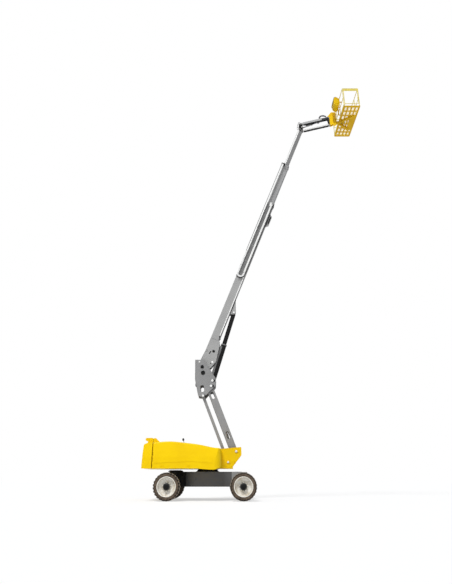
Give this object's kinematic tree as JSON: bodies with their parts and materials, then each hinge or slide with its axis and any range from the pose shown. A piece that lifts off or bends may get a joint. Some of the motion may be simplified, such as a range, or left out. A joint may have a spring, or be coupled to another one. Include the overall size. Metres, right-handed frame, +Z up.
{
  "type": "articulating telescopic boom lift",
  "caption": "Self-propelled aerial work platform: a slewing turret on four wheels carries a folding riser, a telescopic boom, a jib and a level basket.",
  "frame": {"origin": "on the ground below the middle of the machine's length and width", "axes": "+X towards the basket, +Y towards the far side, +Z up"},
  "size_m": [9.8968, 2.38, 19.2695],
  "materials": {
    "chassis_grey": "satin",
    "yellow_paint": "semi-gloss",
    "grey_paint": "satin",
    "black_paint": "satin",
    "rim_cream": "semi-gloss",
    "tyre": "matt",
    "chain_plastic": "matt",
    "steel": "bright",
    "basket_yellow": "semi-gloss",
    "beacon_black": "gloss",
    "tank_black": "matt"
  },
  "bodies": {
    "chassis": {"chassis_frame": "chassis_grey", "axle_cover": "black_paint", "steer_axle": "black_paint", "drive_axle": "black_paint"},
    "steer_knuckle_near": {"steer_knuckle_near": "black_paint"},
    "steer_knuckle_far": {"steer_knuckle_far": "black_paint"},
    "tie_rod": {"tie_rod": "black_paint"},
    "turret": {"turret_frame": "yellow_paint", "counterweight": "yellow_paint", "engine_block": "black_paint", "tanks": "tank_black"},
    "hood_near": {"hood_near": "yellow_paint"},
    "hood_far": {"hood_far": "yellow_paint", "beacon": "beacon_black"},
    "riser_arm": {"riser_arm": "grey_paint"},
    "riser_link": {"riser_link": "grey_paint"},
    "riser_cylinder_barrel": {"riser_cylinder_barrel": "black_paint"},
    "riser_cylinder_rod": {"riser_cylinder_rod": "black_paint"},
    "knuckle": {"knuckle": "grey_paint"},
    "boom_base": {"boom_base": "grey_paint", "chain_carrier": "chain_plastic"},
    "boom_mid": {"boom_mid": "grey_paint", "chain_leg": "chain_plastic"},
    "boom_fly": {"boom_fly": "grey_paint"},
    "chain_loop": {"chain_loop": "chain_plastic"},
    "lift_cylinder_barrel": {"lift_cylinder_barrel": "black_paint"},
    "lift_cylinder_rod": {"lift_cylinder_rod": "black_paint"},
    "jib_head": {"jib_head": "black_paint"},
    "jib_arm": {"jib_arm": "grey_paint"},
    "jib_link": {"jib_link": "black_paint"},
    "jib_cylinder_barrel": {"jib_cylinder_barrel": "black_paint"},
    "jib_cylinder_rod": {"jib_cylinder_rod": "steel"},
    "basket_mount": {"basket_mount": "yellow_paint"},
    "basket": {"basket_floor": "basket_yellow", "basket_rails": "basket_yellow", "console": "yellow_paint"},
    "gate": {"gate": "basket_yellow"},
    "wheel_steer_near": {"tyre_steer_near": "tyre", "rim_steer_near": "rim_cream"},
    "wheel_steer_far": {"tyre_steer_far": "tyre", "rim_steer_far": "rim_cream"},
    "wheel_drive_near": {"tyre_drive_near": "tyre", "rim_drive_near": "rim_cream"},
    "wheel_drive_far": {"tyre_drive_far": "tyre", "rim_drive_far": "rim_cream"}
  },
  "joints": [
    {"name": "slew", "type": "hinge", "parent": "chassis", "child": "turret", "pos_m": [-2.47484, 0, 1.12], "axis": [0, 0, 1], "continuous": true},
    {"name": "wheel_steer_near", "type": "hinge", "parent": "steer_knuckle_near", "child": "wheel_steer_near", "pos_m": [-3.95984, -1.007, 0.5], "axis": [0, 1, 0], "continuous": true},
    {"name": "wheel_steer_far", "type": "hinge", "parent": "steer_knuckle_far", "child": "wheel_steer_far", "pos_m": [-3.95984, 1.007, 0.5], "axis": [0, 1, 0], "continuous": true},
    {"name": "wheel_drive_near", "type": "hinge", "parent": "chassis", "child": "wheel_drive_near", "pos_m": [-1.09984, -1.007, 0.5], "axis": [0, 1, 0], "continuous": true},
    {"name": "wheel_drive_far", "type": "hinge", "parent": "chassis", "child": "wheel_drive_far", "pos_m": [-1.09984, 1.007, 0.5], "axis": [0, 1, 0], "continuous": true},
    {"name": "steer_near", "type": "hinge", "parent": "chassis", "child": "steer_knuckle_near", "pos_m": [-3.95984, -0.78, 0.5], "axis": [0, 0, 1], "range_deg": [-35, 35]},
    {"name": "steer_far", "type": "hinge", "parent": "chassis", "child": "steer_knuckle_far", "pos_m": [-3.95984, 0.78, 0.5], "axis": [0, 0, 1], "range_deg": [-35, 35]},
    {"name": "tie_rod_ball", "type": "hinge", "parent": "steer_knuckle_near", "child": "tie_rod", "pos_m": [-3.75984, -0.78, 0.405], "axis": [0, 0, 1], "range_deg": [-35.7, 35.7]},
    {"name": "hood_near_hinge", "type": "hinge", "parent": "turret", "child": "hood_near", "pos_m": [-3.71984, -0.398, 2.088], "axis": [-1, 0, 0], "range_deg": [0, 60]},
    {"name": "hood_far_hinge", "type": "hinge", "parent": "turret", "child": "hood_far", "pos_m": [-3.71984, 0.398, 2.088], "axis": [1, 0, 0], "range_deg": [0, 60]},
    {"name": "riser_lift", "type": "hinge", "parent": "turret", "child": "riser_arm", "pos_m": [-1.34984, 0, 1.78], "axis": [0, 1, 0], "range_deg": [-64.4, 3]},
    {"name": "riser_link_hinge", "type": "hinge", "parent": "turret", "child": "riser_link", "pos_m": [-1.66984, 0, 1.38], "axis": [0, 1, 0], "range_deg": [-65.75, 4.35]},
    {"name": "knuckle_level", "type": "hinge", "parent": "riser_arm", "child": "knuckle", "pos_m": [-2.37102, 0, 4.3592], "axis": [0, 1, 0], "range_deg": [-4.35, 65.75]},
    {"name": "riser_cylinder_hinge", "type": "hinge", "parent": "turret", "child": "riser_cylinder_barrel", "pos_m": [-1.39984, 0, 1.38], "axis": [0, 1, 0], "range_deg": [-57.97, 3.83]},
    {"name": "riser_cylinder_slide", "type": "slide", "parent": "riser_cylinder_barrel", "child": "riser_cylinder_rod", "axis": [-0.2833, 0, 0.959], "range_m": [-0.34629, 0.0229]},
    {"name": "boom_lift", "type": "hinge", "parent": "knuckle", "child": "boom_base", "pos_m": [-2.74982, 0, 5.16], "axis": [0, -1, 0], "range_deg": [-68.8, 5]},
    {"name": "lift_cylinder_hinge", "type": "hinge", "parent": "knuckle", "child": "lift_cylinder_barrel", "pos_m": [-2.31982, 0, 4.58], "axis": [0, -1, 0], "range_deg": [-69.48, 6.4]},
    {"name": "lift_cylinder_slide", "type": "slide", "parent": "lift_cylinder_barrel", "child": "lift_cylinder_rod", "axis": [0.2887, 0, 0.9574], "range_m": [-0.83245, 0.07671]},
    {"name": "telescope", "type": "slide", "parent": "boom_base", "child": "boom_mid", "axis": [0.361, 0, 0.9326], "range_m": [-2.2, 0]},
    {"name": "telescope_fly", "type": "slide", "parent": "boom_mid", "child": "boom_fly", "axis": [0.361, 0, 0.9326], "range_m": [-2.222, 0]},
    {"name": "chain_roll", "type": "slide", "parent": "boom_base", "child": "chain_loop", "axis": [0.361, 0, 0.9326], "range_m": [-1.122, 0]},
    {"name": "jib_head_level", "type": "hinge", "parent": "boom_fly", "child": "jib_head", "pos_m": [2.06196, 0, 17.59124], "axis": [0, -1, 0], "range_deg": [-6.48, 70.28]},
    {"name": "jib_lift", "type": "hinge", "parent": "jib_head", "child": "jib_arm", "pos_m": [2.09496, 0, 17.91824], "axis": [0, -1, 0], "range_deg": [-69.2, 56]},
    {"name": "jib_link_hinge", "type": "hinge", "parent": "jib_head", "child": "jib_link", "pos_m": [2.16496, 0, 17.51224], "axis": [0, -1, 0], "range_deg": [-71.7, 58.5]},
    {"name": "basket_level", "type": "hinge", "parent": "jib_arm", "child": "basket_mount", "pos_m": [3.59484, 0, 18.32856], "axis": [0, -1, 0], "range_deg": [-58.5, 71.7]},
    {"name": "jib_cylinder_hinge", "type": "hinge", "parent": "jib_head", "child": "jib_cylinder_barrel", "pos_m": [2.16096, 0, 17.72224], "axis": [0, -1, 0], "range_deg": [-72.49, 59.15]},
    {"name": "jib_cylinder_slide", "type": "slide", "parent": "jib_cylinder_barrel", "child": "jib_cylinder_rod", "axis": [0.9291, 0, 0.3699], "range_m": [-0.20535, 0.16754]},
    {"name": "basket_rotate", "type": "hinge", "parent": "basket_mount", "child": "basket", "pos_m": [3.91984, 0, 18.25], "axis": [0, 0, -1], "range_deg": [-90, 90]},
    {"name": "gate_hinge", "type": "hinge", "parent": "basket", "child": "gate", "pos_m": [4.19284, -1.129, 18.7], "axis": [0, 0, 1], "range_deg": [0, 90]}
  ],
  "couplings": [
    {"joint": "steer_far", "follows": "steer_near", "ratio": 1},
    {"joint": "tie_rod_ball", "follows": "steer_near", "ratio": -1},
    {"joint": "riser_link_hinge", "follows": "riser_lift", "ratio": 1},
    {"joint": "knuckle_level", "follows": "riser_lift", "ratio": -1},
    {"joint": "riser_cylinder_hinge", "follows": "riser_lift", "ratio": 0.88175},
    {"joint": "riser_cylinder_slide", "follows": "riser_lift", "m_per_rad": 0.30177},
    {"joint": "lift_cylinder_hinge", "follows": "boom_lift", "ratio": 0.98865},
    {"joint": "lift_cylinder_slide", "follows": "boom_lift", "m_per_rad": 0.67869},
    {"joint": "telescope_fly", "follows": "telescope", "ratio": 1},
    {"joint": "chain_roll", "follows": "telescope", "ratio": 0.5},
    {"joint": "jib_head_level", "follows": "boom_lift", "ratio": -1},
    {"joint": "jib_link_hinge", "follows": "jib_lift", "ratio": 1},
    {"joint": "basket_level", "follows": "jib_lift", "ratio": -1},
    {"joint": "jib_cylinder_hinge", "follows": "jib_lift", "ratio": 1.011},
    {"joint": "jib_cylinder_slide", "follows": "jib_lift", "m_per_rad": 0.16408}
  ]
}
